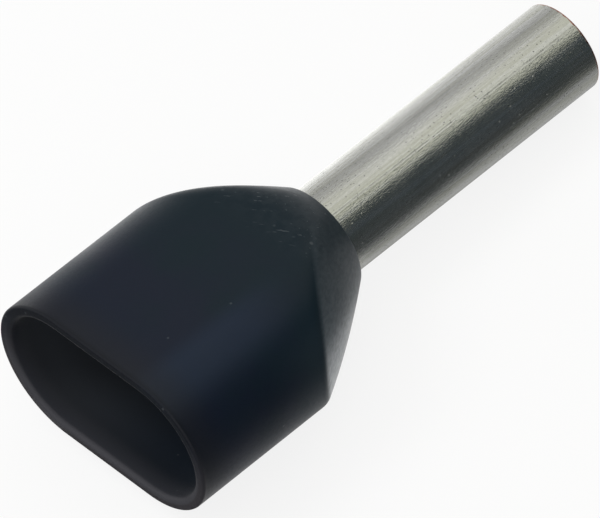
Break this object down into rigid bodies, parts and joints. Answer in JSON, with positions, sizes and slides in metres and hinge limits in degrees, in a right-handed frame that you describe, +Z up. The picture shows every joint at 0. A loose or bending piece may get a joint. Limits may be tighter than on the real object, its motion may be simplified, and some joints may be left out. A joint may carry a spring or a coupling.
{
  "type": "twin wire ferrule",
  "caption": "Insulated twin wire ferrule: a dark plastic collar with a flattened two-wire mouth and a tinned copper tube for crimping, lying as it comes to rest.",
  "frame": {"origin": "on the ground under the middle of the part's bounding box, as the part lies at rest", "axes": "+X along the part, level, from the collar's mouth to the tube's tip; +Z up; +Y across the collar's broad faces. The ferrule's own axis lies in the XZ plane and leans 5.1 degrees down from +X, because the part rests on the end of the collar's broad face and on the tube's tip."},
  "size_m": [0.0162, 0.007, 0.0048],
  "materials": {
    "collar_plastic": "satin",
    "tinned_copper": "satin"
  },
  "bodies": {
    "root": {"collar": "collar_plastic", "sleeve": "tinned_copper"}
  },
  "joints": []
}
